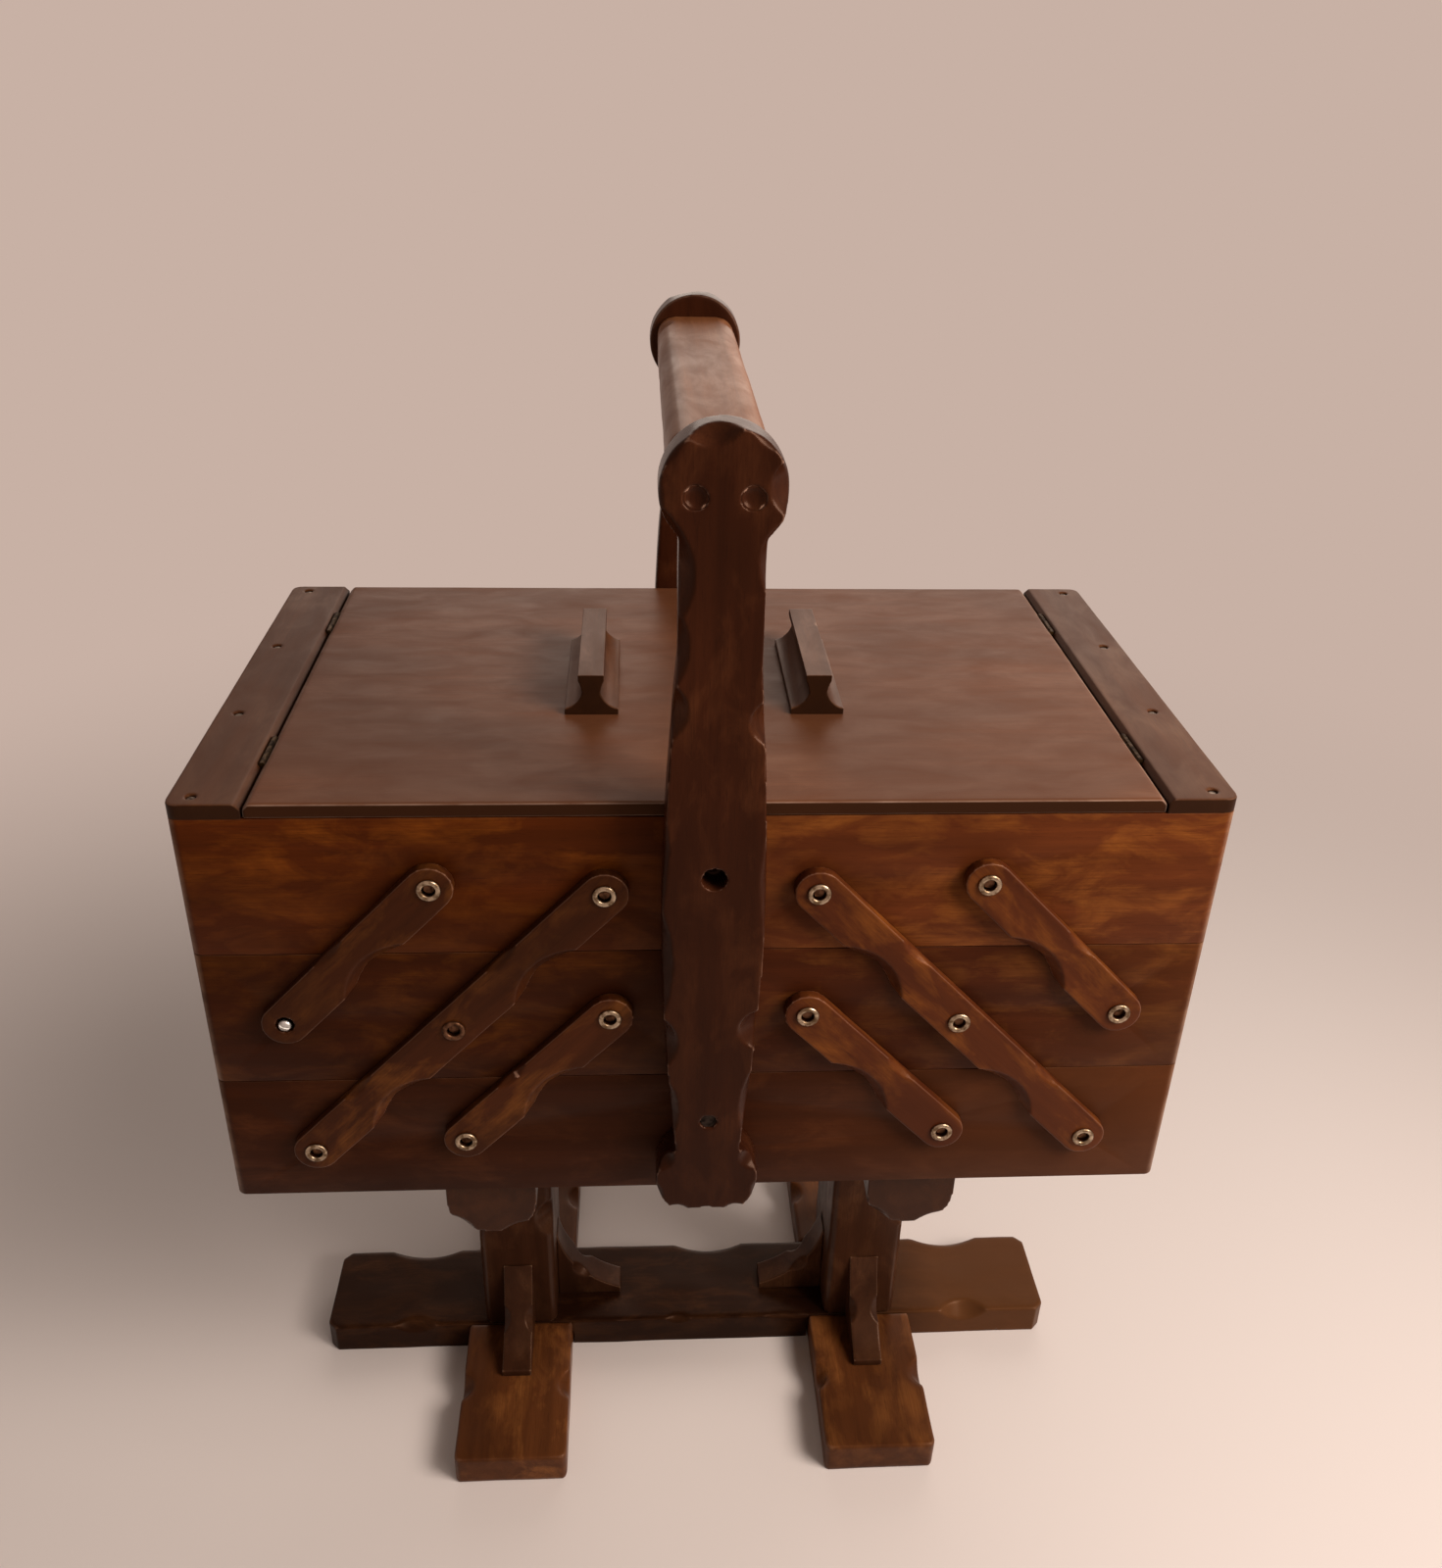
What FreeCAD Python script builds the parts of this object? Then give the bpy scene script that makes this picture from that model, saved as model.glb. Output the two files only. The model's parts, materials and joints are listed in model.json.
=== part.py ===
"""Sewing box on a stand: three tiers of trays on cantilever arms, two lids, a carrying bar and a carved foot frame.

Millimetres, +Z up, origin on the floor under the middle of the box. +X is the box's right, -Y its front.
"""
import FreeCAD, Part
import cmath
import math
import os
import re

os.makedirs("parts", exist_ok=True)

Vector = FreeCAD.Vector
X_AXIS = Vector(1, 0, 0)
Y_AXIS = Vector(0, 1, 0)
Z_AXIS = Vector(0, 0, 1)
SIDES = {"left": -1, "right": 1}
FACES = {"front": -1, "rear": 1}

# Small round parts repeat many times, so they are drawn with so many flats. None means a true cylinder.
RING_FLAT_COUNT = 8
RIVET_FLAT_COUNT = 8
SCREW_FLAT_COUNT = 6
NOTCH_FLAT_COUNT = 4
ARM_END_FLAT_COUNT = 8
TRUE_ROUND = None

SIZES = {
    # Box of three tiers
    "box_width": 450, "box_depth": 252, "tray_wall": 11, "corner_radius": 5,
    "bottom_height": 69.5, "middle_height": 70, "top_height": 67.5, "tier_gap": 0.5, "centre_gap": 1.6,
    "floor_thickness": 4, "floor_rise": 3, "floor_tongue": 4, "base_thickness": 6,
    # Lids, fixed strips and nails
    "lid_thickness": 7, "lid_rest": 0.3, "strip_width": 30.7, "hinge_gap": 0.6, "groove_width": 2.6,
    "lid_edge_round": 2.5, "nail_radius": 0.8, "nail_head": 2.2, "nail_length": 22, "nail_inset": 9.5,
    "nail_end_inset": 7.5, "nail_sink": 0.6,
    # Pulls on the lids
    "pull_length": 84, "pull_width": 25, "pull_height": 20, "pull_offset": 53, "pull_top": 12, "pull_edge": 3,
    "pull_waist": 8.6, "pull_waist_up": 11, "pull_lip": 3.2, "pull_cove": 1.6, "pull_flare": 0.3,
    # Butt hinges
    "hinge_length": 26, "hinge_spacing": 150, "knuckle_radius": 1.5, "hinge_drop": 1.9, "leaf_thickness": 0.8,
    "leaf_height": 3.8, "pin_radius": 0.7, "knuckle_gap": 0.2, "knuckle_room": 0.3,
    # Cantilever arms: each pivot's height is above the underside of its tray
    "arm_width": 21, "arm_thickness": 5.5, "notch_length": 17, "notch_depth": 4,
    "long_inset": 42.5, "long_up": 31.5, "long_top_across": 46, "long_top_up": 32.3,
    "lower_top_across": 44.5, "lower_up": 36.5, "upper_inset": 37, "upper_up": 36,
    # Hollow rivets
    "rivet_shank": 3.9, "rivet_bore": 3, "rivet_flange": 5.6, "flange_thickness": 1.1, "running_fit": 0.05,
    "arm_clearance": 0.3, "repair_head": 4.5,
    # Uprights, by their height above the underside of the box, with half widths
    "upright_thickness": 18, "upright_neck": 14.8, "upright_belly": 22, "upright_top": 16.3, "upright_relief": 1,
    "roundel_radius": 24, "roundel_up": 20, "belly_up": 175, "shoulder_up": 285, "handle_up": 352,
    "neck_bow": 2, "shoulder_bow": 0.9, "lobe_width": 25, "lobe_bow": 3,
    "peg_hole_radius": 5.5, "peg_hole_up": 188, "peg_hole_depth": 12, "fixing_up": 56,
    # Carrying bar and its plugs
    "bar_width": 40, "bar_height": 30, "bar_round": 9, "bar_drop": 2,
    "plug_spacing": 21, "plug_radius": 4.5, "plug_depth": 8, "plug_sink": 0.7,
    # Stand
    "stand_height": 228, "stand_board": 20, "stretcher_length": 447, "stretcher_width": 60, "end_clip": 5,
    "foot_length": 246, "foot_width": 63, "foot_clip": 2.5, "foot_spacing": 210,
    "post_width": 44, "post_depth": 60, "post_bevel": 3, "post_tenon": 18,
    "bearer_width": 44, "bearer_height": 36, "bearer_inset": 7, "bearer_round": 18,
    # Braces on the posts
    "brace_thickness": 17, "brace_reach": 39, "brace_rise": 50, "brace_toe": 20, "brace_step": 12,
    "brace_step_up": 8, "brace_cove": 2, "brace_head": 3, "brace_shoulder": 6, "brace_bow": 1,
    # Gouged chips along the stretcher's rear edge
    "chip_length": 46, "chip_depth": 5, "outer_chip_across": 170, "middle_chip_across": 13,
    # Wood screws
    "screw_radius": 2.2, "screw_head": 4, "head_height": 2.5, "screw_length": 34, "head_sink": 1,
    "bearer_screw_along": 71,
}

doc = FreeCAD.newDocument("SewingBox")
sheet = doc.addObject("Spreadsheet::Sheet", "Sizes")
for row, (alias, number) in enumerate(SIZES.items(), start=1):
    sheet.set(f"A{row}", alias)
    sheet.set(f"B{row}", str(number))
    sheet.setAlias(f"B{row}", alias)
doc.recompute()
size = {alias: float(sheet.get(alias)) for alias in SIZES}
nodes = {}

# Places worked out from the sizes
HALF_WIDTH = size["box_width"] / 2
HALF_DEPTH = size["box_depth"] / 2
BOX_BASE = size["stand_height"]
BOTTOM_RIM = BOX_BASE + size["bottom_height"]
MIDDLE_BASE = BOTTOM_RIM + size["tier_gap"]
TOP_BASE = MIDDLE_BASE + size["middle_height"] + size["tier_gap"]
RIM = TOP_BASE + size["top_height"]
LID_TOP = RIM + size["lid_thickness"]
HINGE_ACROSS = HALF_WIDTH - size["strip_width"] - size["hinge_gap"] / 2
HINGE_UP = LID_TOP - size["hinge_drop"]
HINGE_PLACES = [face * size["hinge_spacing"] / 2 for face in FACES.values()]
HANDLE_UP = BOX_BASE + size["handle_up"]
UPRIGHT_FACE = HALF_DEPTH + size["upright_thickness"]

# Parallelogram of the arms. Places on it are (distance from the middle, height). The long arm spans two links.
LONG_PIVOT = (HALF_WIDTH - size["long_inset"], BOX_BASE + size["long_up"])
LINK_IN = (LONG_PIVOT[0] - size["long_top_across"]) / 2
LINK_UP = (TOP_BASE + size["long_top_up"] - LONG_PIVOT[1]) / 2
LINK = math.hypot(LINK_IN, LINK_UP)
LEAN = math.degrees(math.atan2(LINK_UP, LINK_IN))
LOWER_PIVOT = (size["lower_top_across"] + LINK_IN, BOX_BASE + size["lower_up"])
UPPER_PIVOT = (HALF_WIDTH - size["upper_inset"], MIDDLE_BASE + size["upper_up"])
ARM_BACK = HALF_DEPTH + size["arm_clearance"]
ARM_FACE = ARM_BACK + size["arm_thickness"]
RIVET_SEAT = ARM_FACE + size["arm_clearance"]


def up_the_arm(pivot, links):
    """Point of a closed arm that is so many links up from its pivot."""
    return (pivot[0] - links * LINK_IN, pivot[1] + links * LINK_UP)


TRAY_PIVOTS = {
    "bottom": [LONG_PIVOT, LOWER_PIVOT],
    "middle": [up_the_arm(LONG_PIVOT, 1), up_the_arm(LOWER_PIVOT, 1), UPPER_PIVOT],
    "top": [up_the_arm(LONG_PIVOT, 2), up_the_arm(UPPER_PIVOT, 1)],
}


# Outlines

def outline(start, *steps):
    """Closed outline. A step is the next point, or a pair for an arc: a point on it and its end."""
    edges = []
    here = Vector(*start, 0)
    for step in steps + (start,):
        curved = isinstance(step[0], tuple)
        there = Vector(*(step[1] if curved else step), 0)
        if curved:
            edges.append(Part.Arc(here, Vector(*step[0], 0), there))
        elif there.distanceToPoint(here) > 1e-6:
            edges.append(Part.LineSegment(here, there))
        here = there
    return edges


def bowed(start, end, bow):
    """Step along an arc to end that bows out to the right of its way, or to the left if bow is negative."""
    run_x, run_y = end[0] - start[0], end[1] - start[1]
    length = math.hypot(run_x, run_y)
    middle = ((start[0] + end[0]) / 2 + bow * run_y / length, (start[1] + end[1]) / 2 - bow * run_x / length)
    return middle, end


def faceted(start, end, bow, flats):
    """The same arc as bowed makes, as the points of so many flats."""
    first = complex(*start)
    chord = complex(*end) - first
    half_angle = 2 * math.atan(2 * bow / abs(chord))
    points = []
    for index in range(1, flats + 1):
        turn = half_angle * index / flats
        point = first + chord * cmath.rect(math.sin(turn) / math.sin(half_angle), turn - half_angle)
        points.append((point.real, point.imag))
    return points


def rounded(*corners):
    """Closed outline of straight sides. A corner that is given with a radius is rounded."""
    steps = []
    for index, (x, y, *radius) in enumerate(corners):
        if not radius:
            steps.append((x, y))
            continue
        here = Vector(x, y, 0)
        back = (Vector(*corners[index - 1][:2], 0) - here).normalize()
        ahead = (Vector(*corners[(index + 1) % len(corners)][:2], 0) - here).normalize()
        half_angle = back.getAngle(ahead) / 2
        start = here + back * (radius[0] / math.tan(half_angle))
        end = here + ahead * (radius[0] / math.tan(half_angle))
        inward = (back + ahead).normalize()
        middle = here + inward * (radius[0] / math.sin(half_angle) - radius[0])
        steps.append((start.x, start.y))
        steps.append(((middle.x, middle.y), (end.x, end.y)))
    return outline(*steps)


def clipped_rectangle(half_x, half_y, clip):
    return rounded((-half_x + clip, -half_y), (half_x - clip, -half_y), (half_x, -half_y + clip),
                   (half_x, half_y - clip), (half_x - clip, half_y), (-half_x + clip, half_y),
                   (-half_x, half_y - clip), (-half_x, -half_y + clip))


# Features

def bind(feature, prop, text):
    """Ties a property to the sheet. Every size name in the text has an underscore."""
    feature.setExpression(prop, re.sub(r"\b([a-z]+_[a-z_]+)\b", r"Sizes.\1", text))


def keep(node, shaped):
    """Names a finished piece, which is written to its own file."""
    shaped.Label = node
    nodes[node] = shaped
    return shaped


def board(name, plane, edges, thickness, place=(0, 0, 0), turn=None, centred=False):
    """Outline on one of a body's own planes, padded to a thickness that the sheet gives."""
    body = doc.addObject("PartDesign::Body", name)
    sketch = body.newObject("Sketcher::SketchObject", name + "_outline")
    origin_plane = next(item for item in body.Origin.OriginFeatures if item.Role == plane)
    sketch.AttachmentSupport = [(origin_plane, "")]
    sketch.MapMode = "FlatFace"
    sketch.addGeometry(edges, False)
    pad = body.newObject("PartDesign::Pad", name + "_pad")
    pad.Profile = sketch
    bind(pad, "Length", thickness)
    pad.Midplane = centred
    body.Placement = FreeCAD.Placement(Vector(*place), turn or FreeCAD.Rotation())
    return body


def block(name, length, width, height, place):
    """Box of sheet sizes, centred on its place across and along, and standing on it."""
    box = doc.addObject("Part::Box", name)
    bind(box, "Length", length)
    bind(box, "Width", width)
    bind(box, "Height", height)
    doc.recompute()
    back = Vector(box.Length.Value / 2, box.Width.Value / 2, 0)
    box.Placement = FreeCAD.Placement(Vector(*place) - back, FreeCAD.Rotation())
    return box


def rod(name, radius, height, place, direction, flats=SCREW_FLAT_COUNT):
    """Round bar of sheet sizes, from its place along a direction, with so many flats or truly round."""
    if flats is TRUE_ROUND:
        bar = doc.addObject("Part::Cylinder", name)
        bind(bar, "Radius", radius)
    else:
        bar = doc.addObject("Part::Prism", name)
        bar.Polygon = flats
        bind(bar, "Circumradius", radius)
    bind(bar, "Height", height)
    bar.Placement = FreeCAD.Placement(Vector(*place), FreeCAD.Rotation(Z_AXIS, direction))
    return bar


def scoop(name, point):
    """Round gouge at a point of a rear upper edge: it cuts chip_depth into the edge and runs along it."""
    deep = size["chip_depth"]
    radius = (size["chip_length"] ** 2 / 4 + deep * deep) / (2 * deep)
    outward = (Z_AXIS + Y_AXIS).normalize()
    across = outward.cross(X_AXIS)
    centre = Vector(*point) + outward * (radius - deep) - across * (size["stretcher_width"] / 2)
    return rod(name, "(chip_length * chip_length / 4 + chip_depth * chip_depth) / (2 * chip_depth)",
               "stretcher_width", centre, across, TRUE_ROUND)


def joined(name, pieces):
    """One tool or solid from several."""
    fused = doc.addObject("Part::MultiFuse", name)
    fused.Shapes = list(pieces)
    return fused


def group(node, pieces):
    """Separate solids that share one node."""
    together = doc.addObject("Part::Compound", node)
    together.Links = list(pieces)
    return keep(node, together)


def cut(name, base, tools):
    carved = doc.addObject("Part::Cut", name)
    carved.Base = base
    carved.Tool = tools[0] if len(tools) == 1 else joined(name + "_tools", tools)
    return carved


def screw(name, head_place, direction, length="screw_length"):
    """Plain-shanked wood screw with a flat head, from the top of its head."""
    head = rod(name + "_head", "screw_head", "head_height", head_place, direction)
    shank = rod(name + "_shank", "screw_radius", length, head_place, direction)
    return joined(name, [head, shank])


def pivot_drill(name, across, up, flats=RIVET_FLAT_COUNT):
    """Drill right through both faces of the box at a pivot, wide enough for a rivet's shank to turn in."""
    radius = "rivet_shank" if flats is TRUE_ROUND else f"rivet_shank / cos(180 deg / {flats})"
    start = -HALF_DEPTH - size["tray_wall"]
    return rod(name, radius, "box_depth + 2 * tray_wall", (across, start, up), Y_AXIS, flats)


# Trays

def tray(name, tier, inner, side, base, floor_drills=(), wall_drills=()):
    """Open tray of front, rear and end boards round a floor panel that is let into them.

    inner is the distance of its inner end from the middle, or minus half the width on the full-width tray.
    The drills are the screws or nails that go into its floor and into its walls.
    """
    whole = inner < 0
    near = side * inner
    far = side * HALF_WIDTH
    wall = size["tray_wall"]
    radius = size["corner_radius"]
    height = f"{tier}_height"
    grooved = side * (wall - size["floor_tongue"])
    grooved_y = HALF_DEPTH - wall + size["floor_tongue"]
    panel = rounded((near + grooved, -grooved_y), (far - grooved, -grooved_y),
                    (far - grooved, grooved_y), (near + grooved, grooved_y))
    thickness, rise = ("base_thickness", 0) if whole else ("floor_thickness", size["floor_rise"])
    floor = board(name + "_floor_panel", "XY_Plane", panel, thickness, (0, 0, base + rise))
    keep(name + "_floor", cut(name + "_floor_cut", floor, floor_drills) if floor_drills else floor)
    bores = [pivot_drill(f"{name}_bore_{index}_{hand + 1}", hand * across, up)
             for index, (across, up) in enumerate(TRAY_PIVOTS[tier])
             for hand in (SIDES.values() if whole else (side,))]
    board_tools = joined(name + "_board_tools", [floor] + bores + list(wall_drills))
    for face, front in FACES.items():
        outer_y = front * HALF_DEPTH
        inner_y = outer_y - front * wall
        near_corner = (near, outer_y, radius) if whole else (near, outer_y)
        edges = rounded((near, inner_y), near_corner, (far, outer_y, radius), (far, inner_y))
        blank = board(f"{name}_{face}_blank", "XY_Plane", edges, height, (0, 0, base))
        keep(f"{name}_{face}_board", cut(f"{name}_{face}_cut", blank, [board_tools]))
    middle_places = (near + side * wall / 2, far - side * wall / 2)
    ends = [block(f"{name}_end_{index}", "tray_wall", "box_depth - 2 * tray_wall", height, (across, 0, base))
            for index, across in enumerate(middle_places)]
    pair = doc.addObject("Part::Compound", name + "_end_blanks")
    pair.Links = ends
    keep(name + "_end_boards", cut(name + "_ends_cut", pair, [floor] + list(wall_drills)))


# Arms and rivets

def rivet(name, across, up, front):
    """Hollow rivet through an arm and the board behind it, flanged outside."""
    seat = Vector(across, front * RIVET_SEAT, up)
    inward = Y_AXIS * -front
    shank = rod(name + "_shank", "rivet_shank - running_fit", "arm_thickness + 2 * arm_clearance + tray_wall",
                seat, inward, RIVET_FLAT_COUNT)
    flange = rod(name + "_flange", "rivet_flange", "flange_thickness", seat, inward * -1, RING_FLAT_COUNT)
    bore = rod(name + "_bore", "rivet_bore", "2 * (arm_thickness + tray_wall)",
               seat - inward * (2 * size["flange_thickness"]), inward)
    return cut(name, joined(name + "_body", [shank, flange]), [bore])


def rivets(node, tier, hands, replaced=()):
    """All rivets of a tray, front and rear. replaced holds (hand, place in the list, face) of a lost one."""
    group(node, [rivet(f"{node}_{hand + 1}_{index}_{face}", hand * across, up, front)
                 for hand in hands
                 for index, (across, up) in enumerate(TRAY_PIVOTS[tier])
                 for face, front in FACES.items()
                 if (hand, index, face) not in replaced])


def repair_screw():
    """Plain screw in place of the lost rivet at the lower end of the left front upper arm."""
    seat = (-UPPER_PIVOT[0], -RIVET_SEAT, UPPER_PIVOT[1])
    shank = rod("repair_shank", "rivet_shank - running_fit", "arm_thickness + 2 * arm_clearance + tray_wall",
                seat, Y_AXIS, RIVET_FLAT_COUNT)
    head = rod("repair_head_disc", "repair_head", "flange_thickness", seat, Y_AXIS * -1, RING_FLAT_COUNT)
    keep("repair_screw", joined("repair_screw_body", [shank, head]))


def arm(name, pivot, links, side, front):
    """Flat arm with an end round each of its outer pivots and a gouged notch in the lower edge of each span.

    The upper end of a short arm turns on an open pivot, so it is drawn with flats.
    """
    half = size["arm_width"] / 2
    notch = size["notch_length"] / 2
    low = side * half
    top = links * LINK
    steps = [(top, -low)]
    if links > 1:
        steps.append(bowed((top, -low), (top, low), low))
    else:
        steps += faceted((top, -low), (top, low), low, ARM_END_FLAT_COUNT)
    for span in reversed(range(links)):
        middle = span * LINK + LINK / 2
        steps.append((middle + notch, low))
        steps += faceted((middle + notch, low), (middle - notch, low), -side * size["notch_depth"], NOTCH_FLAT_COUNT)
    steps += [(0, low), bowed((0, low), (0, -low), low)]
    turn = FreeCAD.Rotation(Y_AXIS * -1, 180 - LEAN if side > 0 else LEAN)
    back_y = -ARM_BACK if front < 0 else ARM_FACE
    blank = board(name + "_blank", "XZ_Plane", outline(*steps), "arm_thickness",
                  (side * pivot[0], back_y, pivot[1]), turn)
    drills = []
    for place in range(links + 1):
        across, up = up_the_arm(pivot, place)
        flats = RIVET_FLAT_COUNT if place in (0, links) else TRUE_ROUND
        drills.append(pivot_drill(f"{name}_drill_{place}", side * across, up, flats))
    return cut(name, blank, drills)


def arms(node, pivot, links, side):
    group(node, [arm(f"{node}_{face}", pivot, links, side, front) for face, front in FACES.items()])


# Lids

def hinge_room(name, side):
    """Space that the knuckles and leaves of both hinges take out of a strip or lid."""
    room = []
    for index, middle in enumerate(HINGE_PLACES):
        start = middle - size["hinge_length"] / 2 - size["knuckle_room"]
        room.append(rod(f"{name}_barrel_{index}", "knuckle_radius + knuckle_room", "hinge_length + 2 * knuckle_room",
                        (side * HINGE_ACROSS, start, HINGE_UP), Y_AXIS))
        room.append(block(f"{name}_leaves_{index}", "hinge_gap + 2 * leaf_thickness", "hinge_length", "leaf_height",
                          (side * HINGE_ACROSS, middle, HINGE_UP - size["leaf_height"])))
    return room


def hinge_leaf(name, side, middle, moving):
    """Half of a butt hinge: a leaf let into the wood's edge, with the lid's one knuckle or the strip's two and pin."""
    outward = -side if moving else side
    leaf_across = side * HINGE_ACROSS + outward * (size["hinge_gap"] + size["leaf_thickness"]) / 2
    leaf = block(name + "_leaf", "leaf_thickness", "hinge_length", "leaf_height",
                 (leaf_across, middle, HINGE_UP - size["leaf_height"]))
    first_start = middle - size["hinge_length"] / 2 + size["knuckle_gap"] / 2
    starts = [Vector(side * HINGE_ACROSS, first_start + third * size["hinge_length"] / 3, HINGE_UP)
              for third in range(3)]
    own, other = ([1], [0, 2]) if moving else ([0, 2], [1])
    solids = [leaf] + [rod(f"{name}_knuckle_{index}", "knuckle_radius", "hinge_length / 3 - knuckle_gap",
                           starts[index], Y_AXIS) for index in own]
    cleared = [rod(f"{name}_cleared_{index}", "knuckle_radius + knuckle_gap", "hinge_length / 3 + knuckle_gap",
                   starts[index] - Y_AXIS * size["knuckle_gap"], Y_AXIS) for index in other]
    if moving:
        bore = rod(name + "_bore", "pin_radius + knuckle_gap", "hinge_length", starts[0], Y_AXIS)
        return cut(name, joined(name + "_body", solids), cleared + [bore])
    pin = rod(name + "_pin", "pin_radius", "hinge_length - knuckle_gap", starts[0], Y_AXIS, TRUE_ROUND)
    return joined(name, [cut(name + "_cleared", joined(name + "_body", solids), cleared), pin])


def hinge_leaves(node, side, moving):
    group(node, [hinge_leaf(f"{node}_{index}", side, middle, moving) for index, middle in enumerate(HINGE_PLACES)])


def lid(word, side):
    """Lid board, bevelled along its hinge and rounded at its free edge."""
    free = side * size["centre_gap"] / 2
    hinged = side * (HINGE_ACROSS - size["hinge_gap"] / 2)
    top = size["lid_thickness"]
    low = size["lid_rest"]
    groove = size["groove_width"]
    edges = rounded((free, low), (hinged, low), (hinged, top - groove), (hinged - side * groove, top),
                    (free, top, size["lid_edge_round"]))
    blank = board(f"lid_{word}_blank", "XZ_Plane", edges, "box_depth", (0, 0, RIM), centred=True)
    keep(f"lid_{word}", cut(f"lid_{word}_cut", blank, hinge_room(f"lid_{word}", side)))
    hinge_leaves(f"lid_hinge_leaves_{word}", side, True)


def pull(word, side):
    """Moulded pull: a wide foot, a cove up to a narrow waist and a flared flat top."""
    foot = size["pull_width"] / 2
    edge = size["pull_edge"]
    waist = size["pull_waist"] / 2
    waist_up = size["pull_waist_up"]
    top = size["pull_top"] / 2
    height = size["pull_height"]
    lip_up = height - size["pull_lip"]
    edges = outline((-foot, 0), (foot, 0), (foot, edge),
                    bowed((foot, edge), (waist, waist_up), -size["pull_cove"]),
                    bowed((waist, waist_up), (top, lip_up), -size["pull_flare"]),
                    (top, height), (-top, height), (-top, lip_up),
                    bowed((-top, lip_up), (-waist, waist_up), -size["pull_flare"]),
                    bowed((-waist, waist_up), (-foot, edge), -size["pull_cove"]))
    keep(f"pull_{word}", board(f"pull_{word}_board", "XZ_Plane", edges, "pull_length",
                               (side * size["pull_offset"], 0, LID_TOP), centred=True))


def strip_nails(word, side):
    """Nails down through the strip into the tray's walls, and the dents that their heads are sunk in."""
    count = 4
    pitch = (size["box_depth"] - 2 * size["nail_end_inset"]) / (count - 1)
    nails = []
    dents = []
    for index in range(count):
        name = f"nail_{word}_{index}"
        surface = Vector(side * (HALF_WIDTH - size["nail_inset"]), (index - (count - 1) / 2) * pitch, LID_TOP)
        top = surface - Z_AXIS * size["nail_sink"]
        head = rod(name + "_head", "nail_head", "nail_head", top, Z_AXIS * -1)
        shank = rod(name + "_shank", "nail_radius", "nail_length", top, Z_AXIS * -1)
        nails.append(joined(name, [head, shank]))
        dents.append(rod(name + "_dent", "nail_head", "nail_head", surface, Z_AXIS * -1))
    group(f"strip_nails_{word}", nails)
    return nails, dents


def strip(word, side, drills):
    """Fixed strip at the tray's outer end that the lid is hinged to, bevelled along the hinge."""
    near = side * (HINGE_ACROSS + size["hinge_gap"] / 2)
    far = side * HALF_WIDTH
    top = size["lid_thickness"]
    groove = size["groove_width"]
    radius = size["corner_radius"]
    blank = board(f"strip_{word}_blank", "XY_Plane",
                  rounded((near, -HALF_DEPTH), (far, -HALF_DEPTH, radius), (far, HALF_DEPTH, radius),
                          (near, HALF_DEPTH)), "lid_thickness", (0, 0, RIM))
    bevel = board(f"strip_{word}_bevel", "XZ_Plane",
                  rounded((near, top - groove), (near + side * groove, top), (near, top)),
                  "box_depth", (0, 0, RIM), centred=True)
    keep(f"strip_{word}", cut(f"strip_{word}_cut", blank, [bevel] + hinge_room(f"strip_{word}", side) + drills))
    hinge_leaves(f"strip_hinge_leaves_{word}", side, False)


# Uprights and carrying bar

def upright_edges():
    """Outline of an upright, up from the box's underside: lobed roundel, neck, belly, shoulder and roundel."""
    radius = size["roundel_radius"]
    neck = size["upright_neck"]
    belly = size["upright_belly"]
    top = size["upright_top"]
    low = size["roundel_up"]
    high = size["handle_up"]
    lobe = size["lobe_width"] / 2
    lobe_up = low - math.sqrt(radius * radius - lobe * lobe)
    neck_up = low + math.sqrt(radius * radius - neck * neck)
    belly_up = size["belly_up"]
    shoulder_up = size["shoulder_up"]
    top_up = high - math.sqrt(radius * radius - top * top)
    return outline((-lobe, lobe_up), bowed((-lobe, lobe_up), (lobe, lobe_up), -size["lobe_bow"]),
                   ((radius, low), (neck, neck_up)),
                   bowed((neck, neck_up), (belly, belly_up), size["neck_bow"]),
                   bowed((belly, belly_up), (top, shoulder_up), size["shoulder_bow"]),
                   (top, top_up), ((0, high + radius), (-top, top_up)), (-top, shoulder_up),
                   bowed((-top, shoulder_up), (-belly, belly_up), size["shoulder_bow"]),
                   bowed((-belly, belly_up), (-neck, neck_up), size["neck_bow"]),
                   ((-radius, low), (-lobe, lobe_up)))


def plugged_screws(face, front):
    """Two screws from an upright into the end of the bar, with the plugs over them and the plugs' wells."""
    inward = Y_AXIS * -front
    screws = []
    plugs = []
    wells = []
    for word, side in SIDES.items():
        name = f"handle_screw_{face}_{word}"
        surface = Vector(side * size["plug_spacing"] / 2, front * UPRIGHT_FACE, HANDLE_UP - size["bar_drop"])
        screws.append(screw(name, surface + inward * size["plug_depth"], inward))
        plugs.append(rod(name + "_plug", "plug_radius", "plug_depth - plug_sink",
                         surface + inward * size["plug_sink"], inward, RING_FLAT_COUNT))
        wells.append(rod(name + "_well", "plug_radius", "plug_depth", surface, inward, RING_FLAT_COUNT))
    return screws, plugs, wells


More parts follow.
